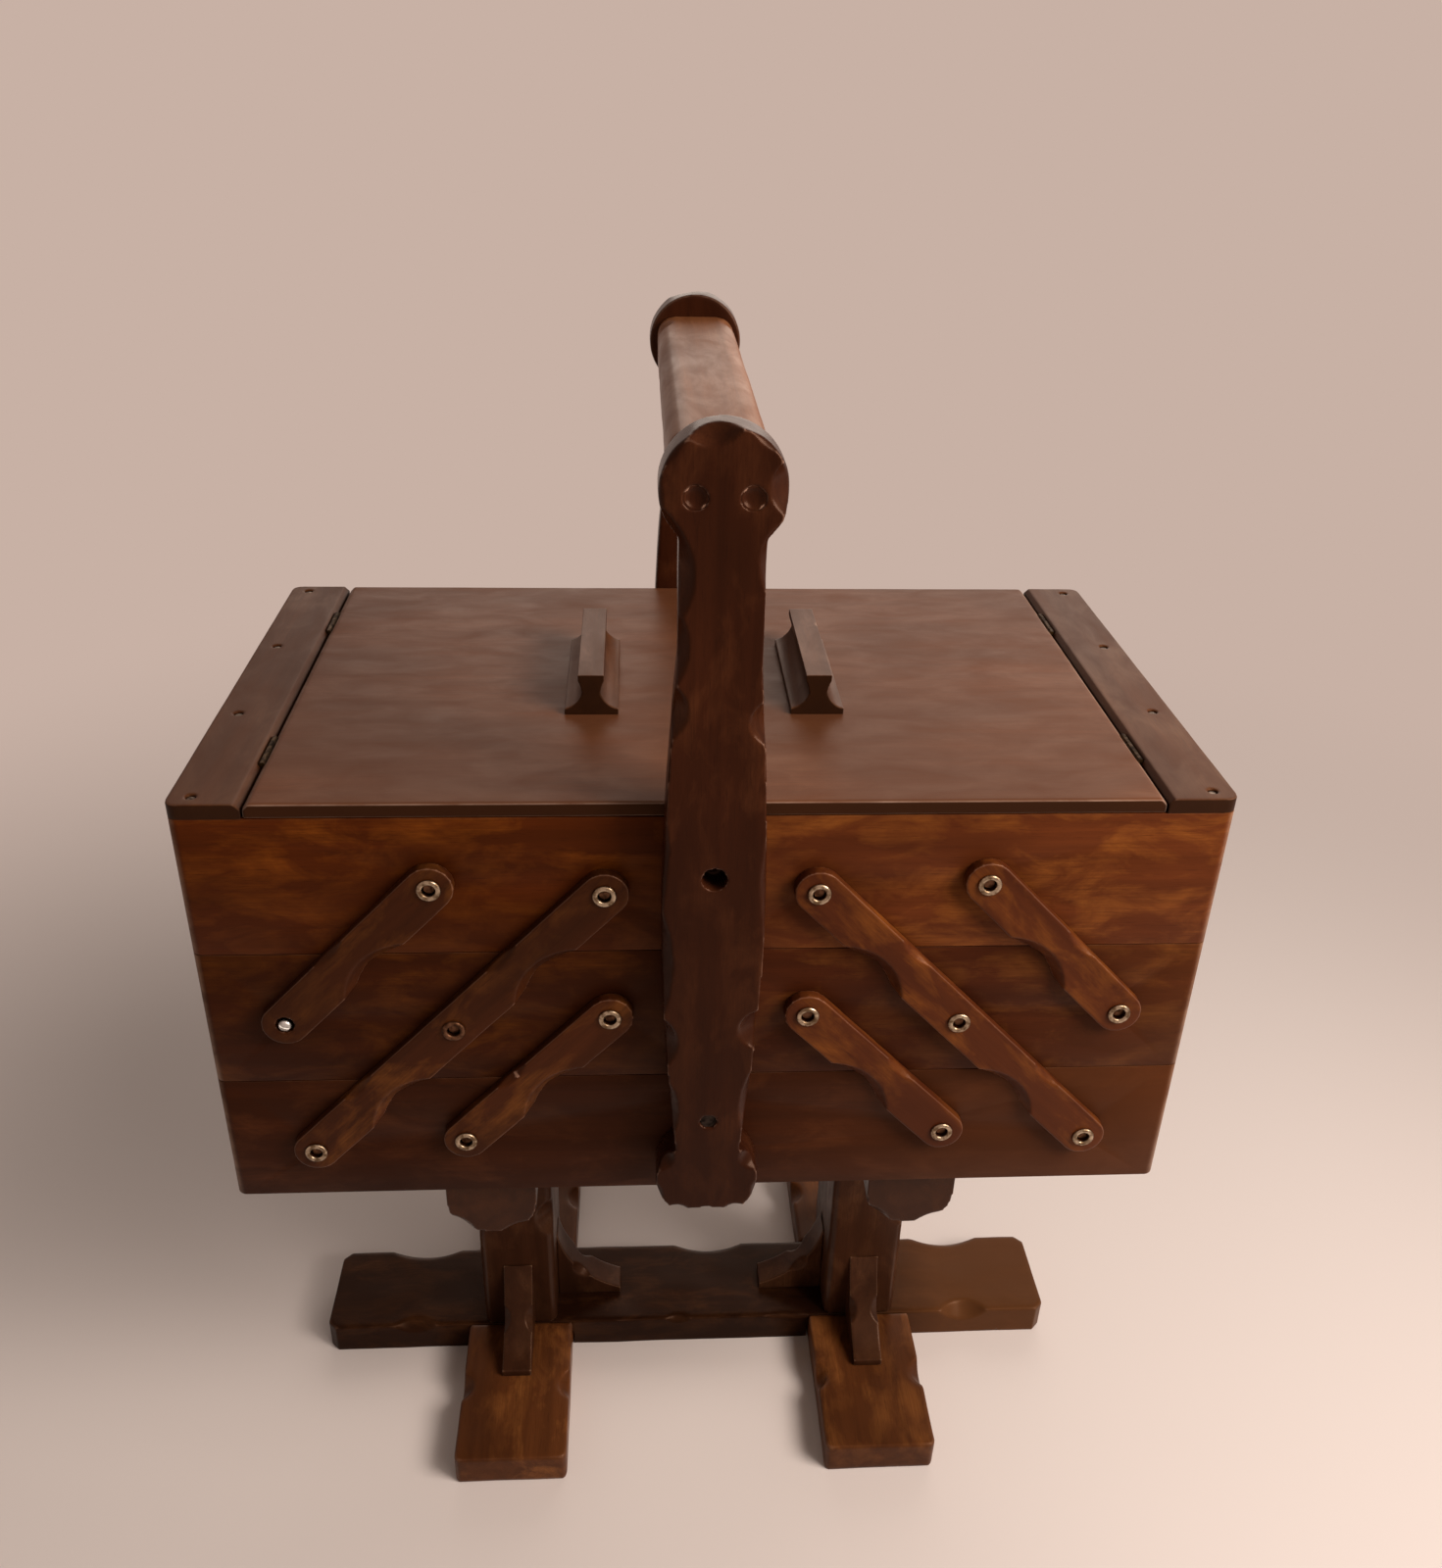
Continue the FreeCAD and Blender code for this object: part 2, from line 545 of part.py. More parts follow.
def upright(face, front, bar_drills):
    """Upright screwed to the bottom tray, relieved behind so that the moving trays clear it."""
    inward = Y_AXIS * -front
    back_y = -HALF_DEPTH if front < 0 else UPRIGHT_FACE
    blank = board(f"upright_{face}_blank", "XZ_Plane", upright_edges(), "upright_thickness", (0, back_y, BOX_BASE))
    relief = block(f"upright_{face}_relief", "box_width", "2 * upright_relief", "handle_up",
                   (0, front * HALF_DEPTH, BOTTOM_RIM))
    surface = Vector(0, front * UPRIGHT_FACE, BOX_BASE + size["fixing_up"])
    fixing = screw(f"upright_{face}_screw", surface + inward * size["head_sink"], inward,
                   "upright_thickness + tray_wall / 2")
    fixing_well = rod(f"upright_{face}_screw_well", "screw_head", "head_height", surface, inward)
    peg_hole = rod(f"upright_{face}_peg_hole", "peg_hole_radius", "peg_hole_depth",
                   (0, front * UPRIGHT_FACE, BOX_BASE + size["peg_hole_up"]), inward, RING_FLAT_COUNT)
    keep(f"upright_{face}",
         cut(f"upright_{face}_cut", blank, [relief, fixing, fixing_well, peg_hole] + bar_drills))
    return fixing


def handle():
    """Both uprights and the bar between them. Gives back the screws that go into the bottom tray's walls."""
    fixings = []
    screws = []
    plugs = []
    for face, front in FACES.items():
        new_screws, new_plugs, wells = plugged_screws(face, front)
        screws += new_screws
        plugs += new_plugs
        fixings.append(upright(face, front, new_screws + wells))
    across = size["bar_width"] / 2
    high = size["bar_height"] / 2
    radius = size["bar_round"]
    edges = rounded((-across, -high, radius), (across, -high, radius), (across, high, radius), (-across, high, radius))
    bar = board("handle_bar_blank", "XZ_Plane", edges, "box_depth + 2 * upright_relief",
                (0, 0, HANDLE_UP - size["bar_drop"]), centred=True)
    keep("handle_bar", cut("handle_bar_cut", bar, screws))
    group("upright_screws", fixings)
    group("handle_plugs", plugs)
    group("handle_screws", screws)
    return fixings


# Stand

def brace(name, centre, direction):
    """Stepped brace from the post's face to the board under it. direction is the way it points, in degrees."""
    reach = size["brace_reach"]
    rise = size["brace_rise"]
    toe = (reach, size["brace_toe"])
    step = (reach - size["brace_step"], toe[1] + size["brace_step_up"])
    head = (size["brace_head"], rise)
    shoulder = (head[0] + size["brace_shoulder"], rise - size["brace_shoulder"])
    edges = outline((0, 0), (reach, 0), toe, bowed(toe, step, -size["brace_cove"]), shoulder,
                    bowed(shoulder, head, size["brace_bow"]), (0, rise))
    out = size["post_depth"] / 2 if direction in (0, 180) else size["post_width"] / 2
    turn = FreeCAD.Rotation(Z_AXIS, direction)
    place = Vector(centre, 0, size["stand_board"]) + turn.multVec(Y_AXIS) * out
    return board(name, "YZ_Plane", edges, "brace_thickness", place, turn, centred=True)


def stretcher(laps, screws):
    """Long board of the foot frame, half-lapped over the feet, with gouged chips along its rear edge."""
    board_up = size["stand_board"]
    edge_y = size["stretcher_width"] / 2
    blank = board("stretcher_blank", "XY_Plane",
                  clipped_rectangle(size["stretcher_length"] / 2, edge_y, size["end_clip"]), "stand_board")
    outer = size["outer_chip_across"]
    chips = [scoop(f"chip_{index}", (across, edge_y, board_up))
             for index, across in enumerate((-outer, size["middle_chip_across"], outer))]
    keep("stretcher", cut("stretcher_cut", blank, laps + chips + screws))


def foot(word, centre, post_screw):
    """Short board of the foot frame, lapped under the stretcher."""
    blank = board(f"foot_{word}_blank", "XY_Plane",
                  clipped_rectangle(size["foot_width"] / 2, size["foot_length"] / 2, size["foot_clip"]),
                  "stand_board", (centre, 0, 0))
    over = block(f"foot_{word}_lap", "foot_width", "stretcher_width", "stand_board / 2",
                 (centre, 0, size["stand_board"] / 2))
    well = rod(f"foot_{word}_well", "screw_head", "head_height", (centre, 0, 0), Z_AXIS)
    keep(f"foot_{word}", cut(f"foot_{word}_cut", blank, [over, well, post_screw]))


def post(word, centre, post_screw):
    """Post from the crossing up into the bearer, which is screwed to the bottom tray's floor."""
    blank = board(f"post_{word}_blank", "XY_Plane",
                  clipped_rectangle(size["post_width"] / 2, size["post_depth"] / 2, size["post_bevel"]),
                  "stand_height - stand_board - bearer_height + post_tenon", (centre, 0, size["stand_board"]))
    keep(f"post_{word}", cut(f"post_{word}_cut", blank, [post_screw]))
    half = size["bearer_width"] / 2
    deep = -size["bearer_height"]
    radius = size["bearer_round"]
    bearer = board(f"bearer_{word}_blank", "XZ_Plane",
                   rounded((-half, 0), (-half, deep, radius), (half, deep, radius), (half, 0)),
                   "box_depth - 2 * bearer_inset", (centre, 0, BOX_BASE), centred=True)
    screws = [screw(f"bearer_screw_{word}_{face}",
                    (centre, front * size["bearer_screw_along"], BOX_BASE + size["base_thickness"]),
                    Z_AXIS * -1, "base_thickness + bearer_height / 2") for face, front in FACES.items()]
    keep(f"bearer_{word}", cut(f"bearer_{word}_cut", bearer, [blank] + screws))
    return screws


def stand():
    """Foot frame, posts, bearers and braces. Gives back the screws that go into the bottom tray's floor."""
    laps = []
    post_screws = []
    floor_screws = []
    for word, side in SIDES.items():
        centre = side * size["foot_spacing"] / 2
        laps.append(block(f"lap_{word}", "foot_width", "stretcher_width", "stand_board / 2", (centre, 0, 0)))
        post_screw = screw(f"post_screw_{word}", (centre, 0, size["head_sink"]), Z_AXIS, "screw_length + stand_board")
        post_screws.append(post_screw)
        foot(word, centre, post_screw)
        floor_screws += post(word, centre, post_screw)
        directions = {"front": 180, "rear": 0, "inner": 90 * side}
        group(f"braces_{word}", [brace(f"brace_{word}_{place}", centre, direction)
                                 for place, direction in directions.items()])
    stretcher(laps, post_screws)
    group("stand_screws", post_screws + floor_screws)
    return floor_screws


def build():
    inner = size["centre_gap"] / 2
    tray("bottom", "bottom", -HALF_WIDTH, 1, BOX_BASE, stand(), handle())
    rivets("bottom_rivets", "bottom", SIDES.values())
    for word, side in SIDES.items():
        nails, dents = strip_nails(word, side)
        tray(f"middle_{word}", "middle", inner, side, MIDDLE_BASE)
        tray(f"top_{word}", "top", inner, side, TOP_BASE, wall_drills=nails)
        rivets(f"middle_{word}_rivets", "middle", [side], replaced=[(SIDES["left"], 2, "front")])
        rivets(f"top_{word}_rivets", "top", [side])
        arms(f"long_arms_{word}", LONG_PIVOT, 2, side)
        arms(f"lower_arms_{word}", LOWER_PIVOT, 1, side)
        arms(f"upper_arms_{word}", UPPER_PIVOT, 1, side)
        strip(word, side, nails + dents)
        lid(word, side)
        pull(word, side)
    repair_screw()


build()
doc.recompute()

for item in doc.Objects:
    if "Invalid" in item.State or "Error" in item.State:
        raise RuntimeError(f"{item.Label} did not compute: {item.State}")
for node, shaped in nodes.items():
    if shaped.Shape.isNull() or not shaped.Shape.isValid():
        raise RuntimeError(f"{node} has no valid shape")
    if not shaped.Shape.Solids:
        raise RuntimeError(f"{node} has no solid")
for node, shaped in nodes.items():
    shaped.Shape.exportStep(f"parts/{node}.step")
print(len(nodes), "nodes written")
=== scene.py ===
"""Looks of the sewing box on its stand: stained and carved wood, hollow rivets, butt hinges and nails.

The sizes below are in millimetres and become metres through MM. +X is the box's right, -Y its front, +Z up.
"""
import bpy
import json
import math
from mathutils import Euler, Matrix, Vector

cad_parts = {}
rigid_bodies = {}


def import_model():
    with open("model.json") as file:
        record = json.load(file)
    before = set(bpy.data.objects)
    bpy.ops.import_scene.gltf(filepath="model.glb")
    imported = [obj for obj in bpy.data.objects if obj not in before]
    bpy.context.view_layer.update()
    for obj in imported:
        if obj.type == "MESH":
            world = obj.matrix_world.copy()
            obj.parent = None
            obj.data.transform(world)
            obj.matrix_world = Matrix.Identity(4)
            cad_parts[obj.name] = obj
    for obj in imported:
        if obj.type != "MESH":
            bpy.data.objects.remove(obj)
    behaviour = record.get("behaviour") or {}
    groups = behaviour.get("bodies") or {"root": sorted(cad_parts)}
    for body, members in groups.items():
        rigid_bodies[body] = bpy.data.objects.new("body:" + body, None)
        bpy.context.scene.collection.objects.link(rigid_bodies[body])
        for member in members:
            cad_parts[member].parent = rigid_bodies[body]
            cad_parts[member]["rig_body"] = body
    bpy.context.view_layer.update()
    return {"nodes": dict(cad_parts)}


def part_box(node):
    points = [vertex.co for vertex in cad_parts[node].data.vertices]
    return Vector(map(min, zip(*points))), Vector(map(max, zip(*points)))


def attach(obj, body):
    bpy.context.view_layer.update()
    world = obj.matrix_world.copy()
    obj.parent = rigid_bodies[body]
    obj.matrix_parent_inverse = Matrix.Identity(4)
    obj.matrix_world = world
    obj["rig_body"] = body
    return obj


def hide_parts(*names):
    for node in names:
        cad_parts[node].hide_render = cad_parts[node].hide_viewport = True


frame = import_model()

bpy.ops.object.select_all(action="DESELECT")

MM = 0.001
SIDES = {"left": -1, "right": 1}
FACES = {"front": -1, "rear": 1}

# Places that the carving follows
BOX_BASE = 228
RIM = 436
LID_TOP = 443
UPRIGHT_FACE = 144
ROUNDEL = 24
ROUNDEL_UP = BOX_BASE + 352
LOWER_ROUNDEL_UP = BOX_BASE + 20
BAR_UP = ROUNDEL_UP - 2
BOARD_UP = 20
FOOT_ACROSS = 105
FOOT_HALF = 31.5
BRACE_COVE = 58.5
BRACE_COVE_OUT = 88.5
BRACE_COVE_UP = 79.5
ARM_LEAN = 45.99
ARM_FACE = 131.8
RIVET_SEAT = 132.1
LONG_PIVOT = (182.5, 259.5)
LOWER_PIVOT = (112.75, 264.5)
UPPER_PIVOT = (188, 334)
LINK_IN = 68.25
LINK_UP = 70.65
HINGE_ACROSS = 194
NAIL_ACROSS = 215.5
NAIL_PLACES = (-118.5, -39.5, 39.5, 118.5)
PLUG_ACROSS = 10.5


# Modelling

def choose(*pieces):
    """Selects these pieces alone, the first one active."""
    bpy.ops.object.select_all(action="DESELECT")
    for piece in pieces:
        piece.select_set(True)
    bpy.context.view_layer.objects.active = pieces[0]


def apply_modifier(piece, kind, **settings):
    """Adds a modifier with its settings and makes its result the mesh."""
    modifier = piece.modifiers.new(kind.lower(), kind)
    for name, value in settings.items():
        setattr(modifier, name, value)
    choose(piece)
    bpy.ops.object.modifier_apply(modifier=modifier.name)


def node_shape(name, *nodes):
    """New piece that starts as the shape of these CAD nodes, its triangles merged."""
    copies = []
    for node in nodes:
        copy = bpy.data.objects.new(name, frame["nodes"][node].data.copy())
        bpy.context.scene.collection.objects.link(copy)
        copies.append(copy)
    choose(*copies)
    if len(copies) > 1:
        bpy.ops.object.join()
    piece = copies[0]
    piece.data.materials.clear()
    bpy.ops.object.mode_set(mode="EDIT")
    bpy.ops.mesh.select_all(action="SELECT")
    bpy.ops.mesh.remove_doubles(threshold=0.005 * MM)
    bpy.ops.object.mode_set(mode="OBJECT")
    return piece


def cutter_rod(radius, length, middle, direction, vertices=48):
    """Round tool through a point along a direction."""
    turn = Vector(direction).to_track_quat("Z", "Y").to_euler()
    bpy.ops.mesh.primitive_cylinder_add(vertices=vertices, radius=radius * MM, depth=length * MM,
                                        location=Vector(middle) * MM, rotation=turn)
    return bpy.context.object


def cutter_ball(radius, middle):
    """Round-nosed tool at a point."""
    bpy.ops.mesh.primitive_uv_sphere_add(segments=48, ring_count=24, radius=radius * MM, location=Vector(middle) * MM)
    return bpy.context.object


def carve(piece, cutters):
    """Cuts each tool out of the piece in turn."""
    for cutter in cutters:
        apply_modifier(piece, "BOOLEAN", operation="DIFFERENCE", solver="MANIFOLD", object=cutter)
        bpy.data.objects.remove(cutter)


def gouge(place, outward, face, width, depth):
    """One stroke of a round gouge across the arris between two faces, given by their outward normals."""
    radius = (width * width / 4 + depth * depth) / (2 * depth)
    away = (Vector(outward).normalized() + Vector(face).normalized()).normalized()
    stroke = (Vector(outward).normalized() - Vector(face).normalized()).normalized()
    return cutter_rod(radius, 4 * radius, Vector(place) + away * (radius - depth), stroke)


hand_marks = bpy.data.textures.new("hand_marks", "CLOUDS")
hand_marks.noise_scale = 34 * MM
hand_marks.noise_depth = 1


def wear(piece, grid, rubs, unevenness, kept):
    """Evens the mesh out, rubs its arrises down and gives its faces the unevenness of handwork."""
    apply_modifier(piece, "REMESH", mode="VOXEL", voxel_size=grid * MM, use_smooth_shade=True)
    apply_modifier(piece, "SMOOTH", factor=0.5, iterations=rubs)
    apply_modifier(piece, "DISPLACE", texture=hand_marks, strength=unevenness * MM, mid_level=0.6)
    apply_modifier(piece, "DECIMATE", ratio=kept)
    choose(piece)
    bpy.ops.object.shade_smooth()


def settle(piece, material, *nodes, slot=None):
    """Gives a finished piece its material, unless it has its own, and lets it stand for CAD nodes on their body."""
    if material:
        piece.data.materials.clear()
        piece.data.materials.append(material)
    choose(piece)
    bpy.ops.object.transform_apply(location=True, rotation=True, scale=True)
    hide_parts(*nodes)
    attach(piece, frame["nodes"][nodes[0]]["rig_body"])


def dress(node, material, edge=0.5):
    """Gives a CAD node its material and eased arrises."""
    piece = frame["nodes"][node]
    piece.data.materials.clear()
    piece.data.materials.append(material)
    if edge:
        weld = piece.modifiers.new("weld", "WELD")
        weld.merge_threshold = 0.005 * MM
        eased = piece.modifiers.new("eased", "BEVEL")
        eased.width = edge * MM
        eased.segments = 2
        eased.limit_method = "ANGLE"
        eased.angle_limit = math.radians(40)
        eased.harden_normals = False
    choose(piece)
    bpy.ops.object.shade_smooth_by_angle(angle=math.radians(35))


# Materials

def linear(hex_colour):
    """sRGB hex colour as linear values with full alpha."""
    channels = [int(hex_colour[start:start + 2], 16) / 255 for start in (1, 3, 5)]
    return [c / 12.92 if c <= 0.04045 else ((c + 0.055) / 1.055) ** 2.4 for c in channels] + [1]


def add(tree, kind, inputs, **settings):
    """One shader node with its settings. Each input gets a value, or the socket that feeds it."""
    node = tree.nodes.new("ShaderNode" + kind)
    for name, value in settings.items():
        setattr(node, name, value)
    for name, value in inputs.items():
        if isinstance(value, bpy.types.NodeSocket):
            tree.links.new(value, node.inputs[name])
        else:
            node.inputs[name].default_value = value
    return node


GRAIN = {
    "across": (0, 0, 0),
    "deep": (0, 0, math.radians(90)),
    "upright": (0, math.radians(-90), 0),
    "arm_left": (0, math.radians(-ARM_LEAN), 0),
    "arm_right": (0, math.radians(ARM_LEAN), 0),
}


def stained_wood(name, grain, deep, middle, pale, shift, blotch=0.6, figure=0.5, dust_and_edge_shade=0.0, roughness=0.45,
                 shine=0.15, varnish=0.0, edge_wear_light_and_shade=0.0, arris_wear_and_highlight=0.0, wear_and_highlight=None, groove=0.0, painted_light_right=None):
    """Stained wood. Colours go from where the stain is deepest to where it is thin; shift moves the pattern.

    edge_wear_light_and_shade lightens a carved shape's convex edges by its curvature, as wear and painted highlight,
    and darkens its hollows as painted shade; arris_wear_and_highlight lightens a squared board's slanting arrises, as
    wear and painted highlight; rubbed is the colour of both lightenings. groove is the distance from the middle, in
    millimetres, past which the groove beside a hinge is darkened as painted shade. Dust lies only on what faces up, and
    faces that do not face up are darkened as painted shade. painted_light_right says how far right of the middle the
    colour starts to pale as painted light from the right, where it is palest, and by what share.
    """
    material = bpy.data.materials.new(name)
    material.use_nodes = True
    tree = material.node_tree
    surface = tree.nodes["Principled BSDF"]
    place = add(tree, "TexCoord", {}).outputs["Object"]

    def pattern(along, across, **settings):
        """Noise with features so many millimetres long and wide, laid along the grain."""
        laid = add(tree, "Mapping", {"Vector": place, "Location": (shift * 0.31, shift * 0.17, shift * 0.23),
                                     "Rotation": GRAIN[grain], "Scale": (along * MM, across * MM, across * MM)},
                   vector_type="TEXTURE")
        return add(tree, "TexNoise", {"Vector": laid.outputs["Vector"], "Scale": 1.0, **settings}).outputs["Fac"]

    def mixed(factor, first, second, blend="MIX"):
        return add(tree, "Mix", {0: factor, 6: first, 7: second}, data_type="RGBA", blend_type=blend).outputs[2]

    def span(value, low, high, to_low=0.0, to_high=1.0):
        return add(tree, "MapRange", {"Value": value, "From Min": low, "From Max": high, "To Min": to_low,
                                      "To Max": to_high}).outputs["Result"]

    rings = pattern(150, 7, Detail=3.0, Distortion=0.4)
    streaks = pattern(38, 0.9, Detail=4.0)
    mottle = pattern(34, 15, Detail=5.0, Roughness=0.62, Distortion=0.5)
    clouds = pattern(120, 60, Detail=2.0)
    pores = pattern(9, 0.45, Detail=2.0)
    colour = mixed(span(rings, 0.35, 0.65, 0, figure), linear(middle), linear(deep))
    colour = mixed(span(mottle, 0.47, 0.68, 0, blotch), colour, linear(pale))
    colour = mixed(span(clouds, 0.42, 0.62, 0, 0.55), colour, linear(deep))
    colour = mixed(span(streaks, 0.4, 0.62, 0, 0.35), colour, mixed(0.5, linear(deep), linear(middle)))
    colour = mixed(span(pores, 0.6, 0.7, 0, 0.45), colour, linear(deep))
    # Pales the colour towards the right as painted light from the right.
    if painted_light_right:
        start, finish, share = painted_light_right
        across = add(tree, "SeparateXYZ", {0: place}).outputs["X"]
        colour = mixed(span(across, start * MM, finish * MM, 0, share), colour, linear(pale))
    # Lightens convex edges as wear and painted highlight, and darkens hollows as painted shade.
    if edge_wear_light_and_shade:
        edge = add(tree, "NewGeometry", {}).outputs["Pointiness"]
        colour = mixed(span(edge, 0.53, 0.6, 0, edge_wear_light_and_shade), colour, linear(wear_and_highlight or pale))
        colour = mixed(span(edge, 0.48, 0.42, 0, edge_wear_light_and_shade), colour, linear(deep))
    # Darkens the groove beside a hinge as painted shade.
    if groove:
        across = add(tree, "SeparateXYZ", {0: place}).outputs["X"]
        reach = add(tree, "Math", {0: across}, operation="ABSOLUTE").outputs[0]
        near, far = ((groove - 1.2) * MM, (groove + 0.8) * MM)
        colour = mixed(span(reach, near, far, 0, 0.85) if groove < HINGE_ACROSS else span(reach, far, near, 0, 0.85),
                       colour, linear("#1c100a"))
    normal = add(tree, "TexCoord", {}).outputs["Normal"]
    if dust_and_edge_shade:
        upward = add(tree, "SeparateXYZ", {0: normal}).outputs["Z"]
        level = add(tree, "Math", {0: upward}, operation="ABSOLUTE").outputs[0]
        # Darkens faces that do not face up as painted shade.
        colour = mixed(span(level, 0.75, 0.3, 0, 0.8), colour, linear("#1c100a"))
        layer = span(pattern(50, 40, Detail=6.0, Roughness=0.7), 0.25, 0.75, dust_and_edge_shade * 0.7, dust_and_edge_shade)
        settled = add(tree, "Math", {0: layer, 1: span(upward, 0.75, 0.98)}, operation="MULTIPLY").outputs[0]
        colour = mixed(settled, colour, linear("#b09a8c"))
    # Lightens slanting arrises as wear and painted highlight.
    if arris_wear_and_highlight:
        facing = add(tree, "SeparateXYZ", {0: add(tree, "VectorMath", {0: normal}, operation="ABSOLUTE").outputs[0]})
        steepest = add(tree, "Math", {0: facing.outputs["X"], 1: facing.outputs["Y"]}, operation="MAXIMUM").outputs[0]
        steepest = add(tree, "Math", {0: steepest, 1: facing.outputs["Z"]}, operation="MAXIMUM").outputs[0]
        arris_wear_and_light = add(tree, "Math", {0: span(steepest, 0.96, 0.8), 1: span(mottle, 0.35, 0.6, arris_wear_and_highlight * 0.3, arris_wear_and_highlight)},
                   operation="MULTIPLY").outputs[0]
        colour = mixed(arris_wear_and_light, colour, linear(wear_and_highlight or pale))
    tree.links.new(colour, surface.inputs["Base Color"])
    tree.links.new(span(mottle, 0.3, 0.7, roughness + 0.1, roughness - 0.06), surface.inputs["Roughness"])
    relief = add(tree, "Mix", {0: 0.35, 2: streaks, 3: pores}, data_type="FLOAT").outputs[0]
    bump = add(tree, "Bump", {"Height": relief, "Strength": 0.25, "Distance": 0.12 * MM})
    tree.links.new(bump.outputs["Normal"], surface.inputs["Normal"])
    surface.inputs["Specular IOR Level"].default_value = shine
    surface.inputs["Specular Tint"].default_value = linear("#ffb887")
    surface.inputs["Coat Weight"].default_value = varnish
    surface.inputs["Coat Roughness"].default_value = 0.2
    return material


def metal(name, clean, dull, roughness, patch=2.5):
    """Bare or plated metal, dulled in patches of so many millimetres."""
    material = bpy.data.materials.new(name)
    material.use_nodes = True
    tree = material.node_tree
    surface = tree.nodes["Principled BSDF"]
    place = add(tree, "TexCoord", {}).outputs["Object"]
    spots = add(tree, "TexNoise", {"Vector": place, "Scale": 1 / (patch * MM), "Detail": 4.0}).outputs["Fac"]
    tarnish = add(tree, "MapRange", {"Value": spots, "From Min": 0.4, "From Max": 0.62})
    colour = add(tree, "Mix", {0: tarnish.outputs["Result"], 6: linear(clean), 7: linear(dull)}, data_type="RGBA")
    tree.links.new(colour.outputs[2], surface.inputs["Base Color"])
    rough = add(tree, "MapRange", {"Value": spots, "From Min": 0.35, "From Max": 0.65, "To Min": roughness,
                                   "To Max": roughness + 0.25})
    tree.links.new(rough.outputs["Result"], surface.inputs["Roughness"])
    surface.inputs["Metallic"].default_value = 1
    return material


# Beech, planed, stained amber and varnished satin: mottled where the stain sank in unevenly, darker towards the foot,
# with the arrises rubbed pale and lightened as painted highlight. The left trays are darker than the right ones as
# painted shade, and the right middle tray and the bottom tray pale towards the right as painted light.
PLANED = {
    "top_left": ("#2c1003", "#4e2108", "#783f10", 1, 0.7, None),
    "top_right": ("#38170a", "#5e2e14", "#884f20", 3, 0.7, None),
    "middle_left": ("#1e0a04", "#3c1908", "#663811", 5, 0.65, None),
    "middle_right": ("#260e06", "#441e0d", "#6c3f1a", 7, 0.65, (120, 230, 0.15)),
    "bottom": ("#1c0a05", "#351709", "#66391d", 9, 0.3, (20, 220, 0.4)),
}
planed_woods = {}
for tray, (deep_stain, stain, thin_stain, moved, blotches, right_light) in PLANED.items():
    for run in ("across", "deep"):
        planed_woods[tray, run] = stained_wood(f"planed_stained_beech_{tray}_{run}", run, deep_stain, stain, thin_stain,
                                               moved + (run == "deep"), blotch=blotches, arris_wear_and_highlight=0.6,
                                               wear_and_highlight="#8a6a54",
                                               painted_light_right=right_light if run == "across" else None)

# Beech arms, sawn, gouged along their edges and rubbed by hands: as mottled as the trays, with pale worn arrises that
# are also lightened as painted highlight, and hollows darkened as painted shade. The left arms are darker than the
# right ones as painted shade.
ARM_STAINS_SHADED_LEFT_LIT_RIGHT = {"left": ("#220e05", "#421f0d", "#6c3f1a"), "right": ("#34150a", "#552912", "#80491c")}
arm_woods = {word: stained_wood(f"gouged_stained_beech_arm_{word}", f"arm_{word}", *ARM_STAINS_SHADED_LEFT_LIT_RIGHT[word], 11 + side,
                                blotch=0.8, figure=0.6, roughness=0.36, shine=0.15, varnish=0.04, edge_wear_light_and_shade=0.95,
                                wear_and_highlight="#a07a66") for word, side in SIDES.items()}

# Beech lids and strips, planed and satin varnished, dulled by dust and light that has bleached the stain. Their
# faces that do not face up and the groove beside each hinge are darkened as painted shade, and their arrises are
# lightened as wear and painted highlight.
lid_wood = stained_wood("dusty_satin_beech_lid", "across", "#452410", "#62361b", "#764824", 14, blotch=0.3, figure=0.3,
                        dust_and_edge_shade=0.045, roughness=0.42, shine=0.13, arris_wear_and_highlight=0.55, wear_and_highlight="#a98f80",
                        groove=HINGE_ACROSS - 1)
strip_wood = stained_wood("dusty_satin_beech_strip", "deep", "#371d10", "#4f2c18", "#674220", 15, blotch=0.4,
                          dust_and_edge_shade=0.045, roughness=0.42, shine=0.13, edge_wear_light_and_shade=0.6, wear_and_highlight="#8d705f",
                          groove=HINGE_ACROSS + 1)
pull_wood = stained_wood("dusty_satin_beech_pull", "deep", "#2e170b", "#4c2a16", "#704423", 16, blotch=0.4,
                         dust_and_edge_shade=0.06, roughness=0.4, shine=0.2, edge_wear_light_and_shade=0.6, wear_and_highlight="#9a7a64")

# Beech, stained nearly black-brown, carved with a gouge and varnished glossy: a glint on each facet from the varnish,
# hollows darkened as painted shade, and edges lightened as wear and painted highlight.
carved_upright = stained_wood("carved_varnished_beech_upright", "upright", "#1c0a05", "#37190c", "#5a321c", 17,
                              blotch=0.5, roughness=0.28, shine=0.1, varnish=0.06, edge_wear_light_and_shade=0.9, wear_and_highlight="#9a7866")
carved_post = stained_wood("carved_varnished_beech_post", "upright", "#22120b", "#402517", "#66432c", 18,
                           blotch=0.5, roughness=0.32, shine=0.12, varnish=0.06, edge_wear_light_and_shade=0.8, wear_and_highlight="#86664f")
carved_bearer = stained_wood("carved_varnished_beech_bearer", "deep", "#1e0e08", "#3a1e11", "#5a3520", 19,
                             blotch=0.5, roughness=0.28, shine=0.18, varnish=0.12, edge_wear_light_and_shade=0.8, wear_and_highlight="#9a7866")
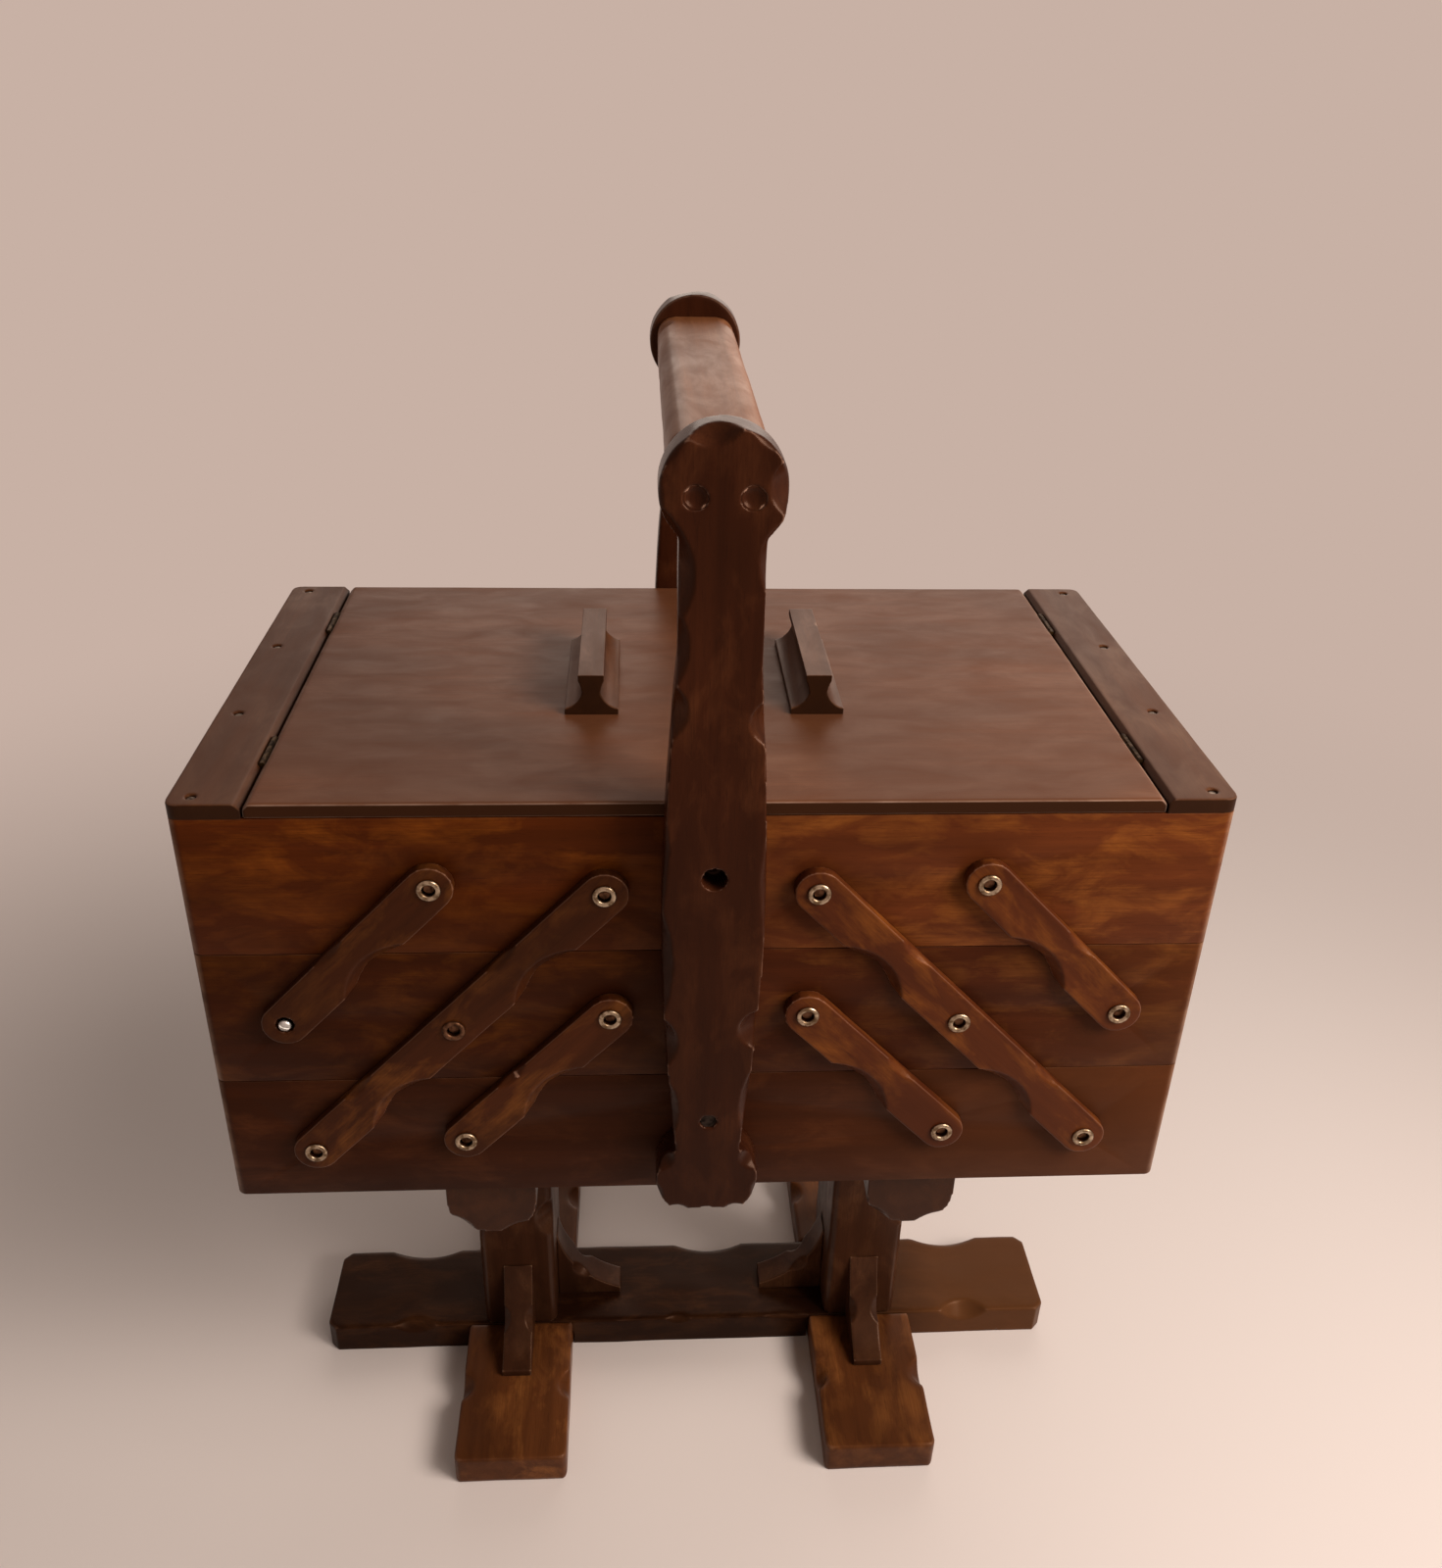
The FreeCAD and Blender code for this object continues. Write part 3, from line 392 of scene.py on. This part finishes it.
# The stretcher is kept very dark as painted shade of the box above it, and its right end pales as painted light.
carved_across = stained_wood("carved_varnished_beech_stretcher", "across", "#140804", "#29150b", "#74492a", 20,
                             blotch=0.25, figure=0.5, roughness=0.34, shine=0.1, varnish=0.03, edge_wear_light_and_shade=0.7,
                             wear_and_highlight="#7c5c4a", painted_light_right=(110, 160, 0.42))
carved_deep = stained_wood("carved_varnished_beech_feet", "deep", "#30180c", "#5c341a", "#8c572c", 21,
                           blotch=0.65, roughness=0.34, shine=0.12, varnish=0.05, edge_wear_light_and_shade=0.7, wear_and_highlight="#7c5c4a")

# Beech carrying bar, stained like the uprights but rubbed pale and polished by hands; its pale colour is also painted
# sheen, standing in for the glare on its top.
bar_wood = stained_wood("rubbed_beech_bar_painted_sheen", "deep", "#5a341b", "#825335", "#9f704c", 22, blotch=0.4,
                        roughness=0.36, shine=0.09, varnish=0.0, edge_wear_light_and_shade=0.4, wear_and_highlight="#9a7a64")

# Birch plywood floor of each tray, bare inside: pale and close grained.
plywood = stained_wood("bare_birch_plywood", "across", "#8a6840", "#a98757", "#bd9c6b", 23, blotch=0.4, figure=0.4,
                       roughness=0.6, varnish=0.0)

# Nickel-plated brass rivets: bright where they are rubbed, brassy and dull in patches.
rivet_metal = metal("nickelled_brass_rivet", "#b7a48c", "#6b5640", 0.22)
# The same rivet with stain and old varnish over it: brown and nearly lost in the arm.
stained_rivet = metal("stain_covered_rivet", "#6e4e3a", "#402a1c", 0.4)
# Zinc-plated steel screw, newer than the rest: cold and bright.
zinc = metal("zinc_plated_screw", "#e4e2df", "#a7a5a2", 0.28)
# Drawn steel nails, browned by age, their heads rubbed bright.
steel = metal("aged_steel_nail", "#85786c", "#3d332b", 0.3)
# Wood screws deep in their holes, aged and darkened nearly black as painted shade of the holes.
screw_steel_in_painted_shade = metal("aged_wood_screw_painted_shade", "#3d342e", "#1c1613", 0.5)
# Rolled brass butt hinges, never polished since: brown with old varnish and dirt.
brass = metal("tarnished_brass_hinge", "#4a3822", "#241a11", 0.5)


# Trays

for tray in PLANED:
    for face in FACES:
        dress(f"{tray}_{face}_board", planed_woods[tray, "across"], 0.8)
    dress(f"{tray}_end_boards", planed_woods[tray, "deep"], 0.8)
    dress(f"{tray}_floor", plywood, 0.2)


# Lids, strips, pulls and hinges

def join_all(pieces, name):
    """Joins pieces into one with this name."""
    choose(*pieces)
    bpy.ops.object.join()
    pieces[0].name = name
    return pieces[0]


def sunk_nail(top):
    """Nail with a low domed head whose crown is at this point, and its shank down into the wall."""
    crown = Vector(top) * MM
    bpy.ops.mesh.primitive_cylinder_add(vertices=24, radius=2.15 * MM, depth=2 * MM, location=crown - Vector((0, 0, MM)))
    head = bpy.context.object
    apply_modifier(head, "BEVEL", width=1.1 * MM, segments=4, limit_method="ANGLE", angle_limit=math.radians(60))
    bpy.ops.mesh.primitive_cone_add(vertices=12, radius1=0.3 * MM, radius2=0.8 * MM, depth=20 * MM,
                                    location=crown - Vector((0, 0, 11.5 * MM)))
    shank = bpy.context.object
    choose(head, shank)
    bpy.ops.object.join()
    bpy.ops.object.shade_smooth_by_angle(angle=math.radians(50))
    return head


for word, side in SIDES.items():
    lid = node_shape(f"rounded_lid_{word}", f"lid_{word}")
    wear(lid, 0.7, 7, 0.15, 0.25)
    settle(lid, lid_wood, f"lid_{word}", slot="lid_wood")
    strip = node_shape(f"rounded_strip_{word}", f"strip_{word}")
    carve(strip, [cutter_ball(3.4, (side * NAIL_ACROSS, along, LID_TOP + 2.1)) for along in NAIL_PLACES])
    wear(strip, 0.6, 3, 0.2, 0.35)
    settle(strip, strip_wood, f"strip_{word}", slot="lid_wood")
    pull = node_shape(f"moulded_pull_{word}", f"pull_{word}")
    wear(pull, 0.5, 3, 0.25, 0.3)
    settle(pull, pull_wood, f"pull_{word}", slot="lid_wood")
    nails = join_all([sunk_nail((side * NAIL_ACROSS, along, LID_TOP - 0.9)) for along in NAIL_PLACES],
                     f"domed_nails_{word}")
    settle(nails, steel, f"strip_nails_{word}", slot="steel_fixing")
    dress(f"lid_hinge_leaves_{word}", brass, 0)
    dress(f"strip_hinge_leaves_{word}", brass, 0)


# Arms

def arm_point(pivot, links, off, side, front):
    """Point on an arm's outer face so many links up from its pivot and so far off its middle line, upwards."""
    lean = math.radians(ARM_LEAN)
    across = pivot[0] - links * LINK_IN + off * math.sin(lean)
    return Vector((side * across, front * ARM_FACE, pivot[1] + links * LINK_UP + off * math.cos(lean)))


def arm_strokes(pivot, links, side, front):
    """Gouge strokes on both arrises of each span: a deep one below, a smaller one above and further out."""
    lean = math.radians(ARM_LEAN)
    above = Vector((side * math.sin(lean), 0, math.cos(lean)))
    outward = Vector((0, front, 0))
    half = 10.5
    strokes = []
    for span in range(links):
        strokes.append(gouge(arm_point(pivot, span + 0.5, 4.5 - half, side, front), above * -1, outward, 29, 2.8))
        strokes.append(gouge(arm_point(pivot, span + 0.44, half, side, front), above, outward, 21, 2.0))
    return strokes


for node, (pivot, links) in {"long_arms": (LONG_PIVOT, 2), "lower_arms": (LOWER_PIVOT, 1),
                             "upper_arms": (UPPER_PIVOT, 1)}.items():
    for word, side in SIDES.items():
        arms = node_shape(f"gouged_{node}_{word}", f"{node}_{word}")
        for front in FACES.values():
            carve(arms, arm_strokes(pivot, links, side, front))
        wear(arms, 0.6, 3, 0.3, 0.3)
        settle(arms, arm_woods[word], f"{node}_{word}", slot="arm_wood")


# Rivets

def hollow_rivet():
    """Rolled lip and shank of one rivet, facing the front at the origin, its shallow hollow inside the lip."""
    bpy.ops.mesh.primitive_torus_add(major_segments=36, minor_segments=14, major_radius=4.0 * MM,
                                     minor_radius=1.2 * MM, rotation=(math.radians(90), 0, 0))
    lip = bpy.context.object
    bpy.ops.object.transform_apply(rotation=True)
    bpy.ops.object.mode_set(mode="EDIT")
    bpy.ops.transform.resize(value=(1, 0.75, 1))
    bpy.ops.transform.translate(value=(0, -0.35 * MM, 0))
    bpy.ops.object.mode_set(mode="OBJECT")
    bpy.ops.mesh.primitive_cylinder_add(vertices=36, radius=3.6 * MM, depth=16.5 * MM,
                                        location=(0, 8.25 * MM, 0), rotation=(math.radians(90), 0, 0))
    shank = bpy.context.object
    bpy.ops.object.transform_apply(location=True, rotation=True)
    for face in shank.data.polygons:
        face.select = face.normal.y < -0.9
    bpy.ops.object.mode_set(mode="EDIT")
    bpy.ops.mesh.select_mode(type="FACE")
    for thickness, depth in ((0.5, 0), (0.2, 1.0), (0.7, 0.3)):
        bpy.ops.mesh.inset(thickness=thickness * MM, depth=-depth * MM)
    bpy.ops.object.mode_set(mode="OBJECT")
    shank.data.materials.append(rivet_metal)
    shank.data.materials.append(stained_rivet)
    for face in shank.data.polygons:
        face.material_index = int(face.select)
    lip.data.materials.append(rivet_metal)
    choose(lip, shank)
    bpy.ops.object.join()
    bpy.ops.object.shade_smooth_by_angle(angle=math.radians(35))
    return lip


def up_the_arm(pivot, links):
    return (pivot[0] - links * LINK_IN, pivot[1] + links * LINK_UP)


PIVOTS = {
    "bottom": [LONG_PIVOT, LOWER_PIVOT],
    "middle": [up_the_arm(LONG_PIVOT, 1), up_the_arm(LOWER_PIVOT, 1), UPPER_PIVOT],
    "top": [up_the_arm(LONG_PIVOT, 2), up_the_arm(UPPER_PIVOT, 1)],
}
pattern_rivet = hollow_rivet()
for node, tier, sides in (("bottom_rivets", "bottom", (-1, 1)), ("middle_left_rivets", "middle", (-1,)),
                          ("middle_right_rivets", "middle", (1,)), ("top_left_rivets", "top", (-1,)),
                          ("top_right_rivets", "top", (1,))):
    copies = []
    for side in sides:
        for across, up in PIVOTS[tier]:
            for front in FACES.values():
                if (tier, side, front) == ("middle", -1, -1) and (across, up) == UPPER_PIVOT:
                    continue
                copy = pattern_rivet.copy()
                copy.data = pattern_rivet.data.copy()
                bpy.context.scene.collection.objects.link(copy)
                turn = Matrix.Rotation(0 if front < 0 else math.pi, 4, "Z")
                copy.data.transform(Matrix.Translation(Vector((side * across, front * RIVET_SEAT, up)) * MM) @ turn)
                if (tier, side, front, across) == ("middle", -1, -1, PIVOTS["middle"][0][0]):
                    copy.data.materials[0] = stained_rivet
                copies.append(copy)
    settle(join_all(copies, f"rolled_{node}"), None, node, slot="nickelled_rivet")
bpy.data.objects.remove(pattern_rivet)


def round_head_screw(node, radius, height, slot_width):
    """Slotted round-head screw in the place of a CAD screw that faces the front, with a tapered shank."""
    low, high = (Vector(corner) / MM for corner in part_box(node))
    middle = (low + high) / 2
    seat = low.y + height
    bpy.ops.mesh.primitive_uv_sphere_add(segments=40, ring_count=20, radius=radius * MM,
                                         location=Vector((middle.x, seat, middle.z)) * MM)
    head = bpy.context.object
    bpy.ops.object.mode_set(mode="EDIT")
    bpy.ops.transform.resize(value=(1, height / radius, 1))
    bpy.ops.object.mode_set(mode="OBJECT")
    carve(head, [cutter_rod(slot_width / 2, 4 * radius, (middle.x, low.y + 0.2, middle.z), (1, 0, -0.5), 4)])
    length = high.y - seat
    bpy.ops.mesh.primitive_cone_add(vertices=24, radius1=0.5 * MM, radius2=2 * MM, depth=length * MM,
                                    rotation=(math.radians(90), 0, 0),
                                    location=Vector((middle.x, seat + length / 2, middle.z)) * MM)
    shank = bpy.context.object
    return join_all([head, shank], "round_head_repair_screw")


repair = round_head_screw("repair_screw", 2.8, 1.6, 1.1)
choose(repair)
bpy.ops.object.shade_smooth_by_angle(angle=math.radians(35))
settle(repair, zinc, "repair_screw", slot="zinc_screw")


# Uprights and carrying bar

def rim_stroke(centre_up, angle, width, depth, front, radius=ROUNDEL):
    """Gouge stroke across the rim of a roundel, at an angle from the right, counted upwards."""
    out = Vector((math.cos(math.radians(angle)), 0, math.sin(math.radians(angle))))
    place = Vector((0, front * UPRIGHT_FACE, centre_up)) + out * radius
    return gouge(place, out, (0, front, 0), width, depth)


def edge_stroke(across, up, width, depth, front):
    """Gouge stroke across a side arris of an upright."""
    return gouge((across, front * UPRIGHT_FACE, up), (math.copysign(1, across), 0, 0), (0, front, 0), width, depth)


for face, front in FACES.items():
    upright = node_shape(f"carved_upright_{face}", f"upright_{face}")
    carve(upright, [cutter_rod(4.5, 7, (side * PLUG_ACROSS, front * UPRIGHT_FACE, BAR_UP), (0, 1, 0))
                    for side in SIDES.values()])
    carve(upright, [rim_stroke(ROUNDEL_UP, 100, 24, 5.2, front), rim_stroke(ROUNDEL_UP, 52, 15, 1.4, front),
                    rim_stroke(ROUNDEL_UP, 4, 23, 5.6, front), rim_stroke(ROUNDEL_UP, -40, 14, 1.2, front),
                    rim_stroke(ROUNDEL_UP, 142, 18, 1.4, front), rim_stroke(ROUNDEL_UP, 184, 22, 1.4, front),
                    rim_stroke(ROUNDEL_UP, 222, 14, 1.2, front)])
    carve(upright, [rim_stroke(LOWER_ROUNDEL_UP, 32, 15, 3.6, front), rim_stroke(LOWER_ROUNDEL_UP, 148, 15, 3.0, front),
                    rim_stroke(LOWER_ROUNDEL_UP, -14, 14, 1.6, front), rim_stroke(LOWER_ROUNDEL_UP, 196, 14, 1.6, front),
                    rim_stroke(LOWER_ROUNDEL_UP, -58, 14, 3.4, front), rim_stroke(LOWER_ROUNDEL_UP, 238, 14, 3.4, front)])
    carve(upright, [edge_stroke(19.5, 488, 20, 5.4, front), edge_stroke(-19.5, 493, 26, 5.6, front),
                    edge_stroke(19, 337, 20, 5.0, front), edge_stroke(-19, 330, 24, 3.4, front),
                    edge_stroke(-16, 548, 38, 4.2, front), edge_stroke(-16.5, 520, 32, 3.4, front),
                    edge_stroke(-21.5, 430, 60, 2.0, front), edge_stroke(21.5, 415, 70, 1.8, front),
                    edge_stroke(-19.5, 372, 44, 2.0, front), edge_stroke(16, 292, 30, 1.6, front),
                    edge_stroke(-16, 290, 26, 1.8, front)])
    wear(upright, 0.9, 3, 0.5, 0.35)
    settle(upright, carved_upright, f"upright_{face}", slot="dark_carved_wood")

bar = node_shape("carved_bar", "handle_bar")
carve(bar, [gouge((side * 18.5, along, BAR_UP + 13.5), (side, 0, 0), (0, 0, 1), width, depth)
            for side, along, width, depth in ((-1, -112, 16, 4), (-1, 112, 20, 3.4), (1, 116, 20, 3.4))])
wear(bar, 1.0, 4, 0.4, 0.35)
settle(bar, bar_wood, "handle_bar", slot="dark_carved_wood")


def dished_plug(across, front):
    """Wooden plug over a screw, turned with a hollow face and an eased lip."""
    turn = (math.radians(90 if front < 0 else -90), 0, 0)
    bpy.ops.mesh.primitive_cylinder_add(vertices=40, radius=4.9 * MM, depth=6 * MM, rotation=turn,
                                        location=Vector((across, front * (UPRIGHT_FACE - 3.5), BAR_UP)) * MM)
    plug = bpy.context.object
    bpy.ops.object.transform_apply(location=True, rotation=True)
    for face in plug.data.polygons:
        face.select = face.normal.y * front > 0.9
    bpy.ops.object.mode_set(mode="EDIT")
    bpy.ops.mesh.select_mode(type="FACE")
    bpy.ops.mesh.inset(thickness=0.9 * MM, depth=0)
    for thickness, depth in ((0.8, 0.7), (1.1, 0.4), (1.2, 0.15)):
        bpy.ops.mesh.inset(thickness=thickness * MM, depth=-depth * MM)
    bpy.ops.object.mode_set(mode="OBJECT")
    apply_modifier(plug, "BEVEL", width=0.35 * MM, segments=2, limit_method="ANGLE", angle_limit=math.radians(40))
    bpy.ops.object.shade_smooth_by_angle(angle=math.radians(50))
    return plug


settle(join_all([dished_plug(side * PLUG_ACROSS, front) for side in SIDES.values() for front in FACES.values()],
                "dished_plugs"), carved_upright, "handle_plugs", slot="dark_carved_wood")
for node in ("handle_screws", "upright_screws", "stand_screws"):
    dress(node, screw_steel_in_painted_shade, 0)


# Stand

stretcher = node_shape("carved_stretcher", "stretcher")
carve(stretcher, [gouge((across, -30, BOARD_UP), (0, -1, 0), (0, 0, 1), width, depth)
                  for across, width, depth in ((172, 30, 6), (-8, 16, 2.6), (-170, 26, 4), (60, 40, 1.4))])
wear(stretcher, 1.2, 3, 0.8, 0.25)
settle(stretcher, carved_across, "stretcher", slot="dark_carved_wood")
for word, side in SIDES.items():
    centre = side * FOOT_ACROSS
    foot = node_shape(f"carved_foot_{word}", f"foot_{word}")
    carve(foot, [gouge((centre + hand * FOOT_HALF, along, BOARD_UP), (hand, 0, 0), (0, 0, 1), width, depth)
                 for hand in SIDES.values() for along, width, depth in ((-74, 20, 5), (74, 20, 5))])
    wear(foot, 1.2, 3, 0.8, 0.25)
    settle(foot, carved_deep, f"foot_{word}", slot="dark_carved_wood")
    post = node_shape(f"carved_post_{word}", f"post_{word}")
    carve(post, [gouge((centre + 20, front * 29, 108), (1, 0, 0), (0, front, 0), 26, 5) for front in FACES.values()])
    wear(post, 1.2, 3, 0.8, 0.25)
    settle(post, carved_post, f"post_{word}", slot="dark_carved_wood")
    bearer = node_shape(f"carved_bearer_{word}", f"bearer_{word}")
    carve(bearer, [gouge((centre + across, front * 119, BOX_BASE - deep), (across / 20, 0, -deep / 30), (0, front, 0),
                         width, depth)
                   for front in FACES.values()
                   for across, deep, width, depth in ((-15.5, 29, 17, 1.5), (11, 33.5, 19, 1.5))])
    wear(bearer, 1.0, 3, 0.6, 0.3)
    settle(bearer, carved_bearer, f"bearer_{word}", slot="dark_carved_wood")
    braces = node_shape(f"carved_braces_{word}", f"braces_{word}")
    for turn, reach in ((-90, BRACE_COVE_OUT), (90, BRACE_COVE_OUT), (90 + 90 * side, BRACE_COVE_OUT - 8)):
        out = Vector((math.cos(math.radians(turn)), math.sin(math.radians(turn)), 0))
        beside = Vector((-out.y, out.x, 0))
        middle = Vector((centre, 0, 0))
        carve(braces, [cutter_rod(BRACE_COVE, 30, middle + out * reach + Vector((0, 0, BRACE_COVE_UP)), beside, 96)])
        carve(braces, [gouge(middle + out * (reach - 42) + beside * (hand * 8.5) + Vector((0, 0, 42)), beside * hand,
                             out + Vector((0, 0, 1)), 18, 4.6) for hand in SIDES.values()])
    wear(braces, 0.7, 3, 0.5, 0.3)
    settle(braces, carved_post, f"braces_{word}", slot="dark_carved_wood")


# Floor, light and camera

BACKGROUND = "#c8b1a5"


def seen_directly(tree):
    """1 where the camera, a gloss or glass shows the surface, and 0 where it only lights the object."""
    path = add(tree, "LightPath", {}).outputs
    mirrored = add(tree, "Math", {0: path["Is Glossy Ray"], 1: path["Is Transmission Ray"]}, operation="MAXIMUM")
    return add(tree, "Math", {0: path["Is Camera Ray"], 1: mirrored.outputs[0]}, operation="MAXIMUM").outputs[0]


def floor_paint():
    """Matt pale paint that runs out into the plain background between 0.45 and 1.3 metres from the box."""
    material = bpy.data.materials.new("pale_floor")
    material.use_nodes = True
    tree = material.node_tree
    surface = tree.nodes["Principled BSDF"]
    surface.inputs["Base Color"].default_value = linear("#dbd2d0")
    surface.inputs["Roughness"].default_value = 0.7
    away = add(tree, "VectorMath", {0: add(tree, "TexCoord", {}).outputs["Object"]}, operation="LENGTH").outputs["Value"]
    far = add(tree, "MapRange", {"Value": away, "From Min": 0.45, "From Max": 1.3}, interpolation_type="SMOOTHSTEP")
    share = add(tree, "Math", {0: far.outputs["Result"], 1: seen_directly(tree)}, operation="MULTIPLY").outputs[0]
    glow = add(tree, "Emission", {"Color": linear(BACKGROUND), "Strength": 1.0}).outputs[0]
    blend = add(tree, "MixShader", {0: share, 1: surface.outputs[0], 2: glow}).outputs[0]
    tree.links.new(blend, tree.nodes["Material Output"].inputs["Surface"])
    return material


bpy.ops.mesh.primitive_plane_add(size=120, location=(0, 0, 0))
floor = bpy.context.object
floor.name = "floor"
floor.data.materials.append(floor_paint())

# The world lights the object softly. Seen directly or in a gloss it is a brighter pale room.
world = bpy.data.worlds.new("soft_studio")
bpy.context.scene.world = world
world.use_nodes = True
room = world.node_tree
fill = [channel * 0.25 for channel in linear("#ecd9cb")[:3]] + [1]
shown = add(room, "Mix", {0: seen_directly(room), 6: fill, 7: linear(BACKGROUND)}, data_type="RGBA").outputs[2]
room.links.new(shown, room.nodes["Background"].inputs["Color"])

# A near soft box on the right that fades towards the left, a soft key from the same side, and a soft light behind.
object_middle = Vector((0, 0, 0.3))
for name, kind, place, softness, strength in (("key", "SUN", (1.6, -1.3, 2.0), math.radians(35), 0.75),
                                              ("near", "AREA", (0.75, -0.5, 0.9), 0.5, 12.5),
                                              ("behind", "SUN", (0.4, 2.0, 1.2), math.radians(50), 0.75)):
    lamp = bpy.data.lights.new(name, kind)
    setattr(lamp, "angle" if kind == "SUN" else "size", softness)
    lamp.energy = strength
    lamp.color = linear("#fff1e4")[:3]
    light = bpy.data.objects.new(name, lamp)
    light.location = place
    light.rotation_euler = (object_middle - light.location).to_track_quat("-Z", "Y").to_euler()
    light.visible_camera = False
    bpy.context.scene.collection.objects.link(light)

IMAGE_HEIGHT = 1600
FOCAL_PIXELS = 1412
lens = bpy.data.cameras.new("camera")
lens.sensor_width = 36
lens.lens = FOCAL_PIXELS * lens.sensor_width / IMAGE_HEIGHT
camera = bpy.data.objects.new("camera", lens)
camera.location = Vector((-31.8, -627.3, 725.6)) * MM
aim = Euler((math.radians(90 - 28.6), 0, math.radians(-3.94))).to_matrix() @ Matrix.Rotation(math.radians(1.6), 3, "Z")
camera.rotation_euler = aim.to_euler()
bpy.context.scene.collection.objects.link(camera)
bpy.context.scene.camera = camera
bpy.context.scene.view_settings.view_transform = "Standard"
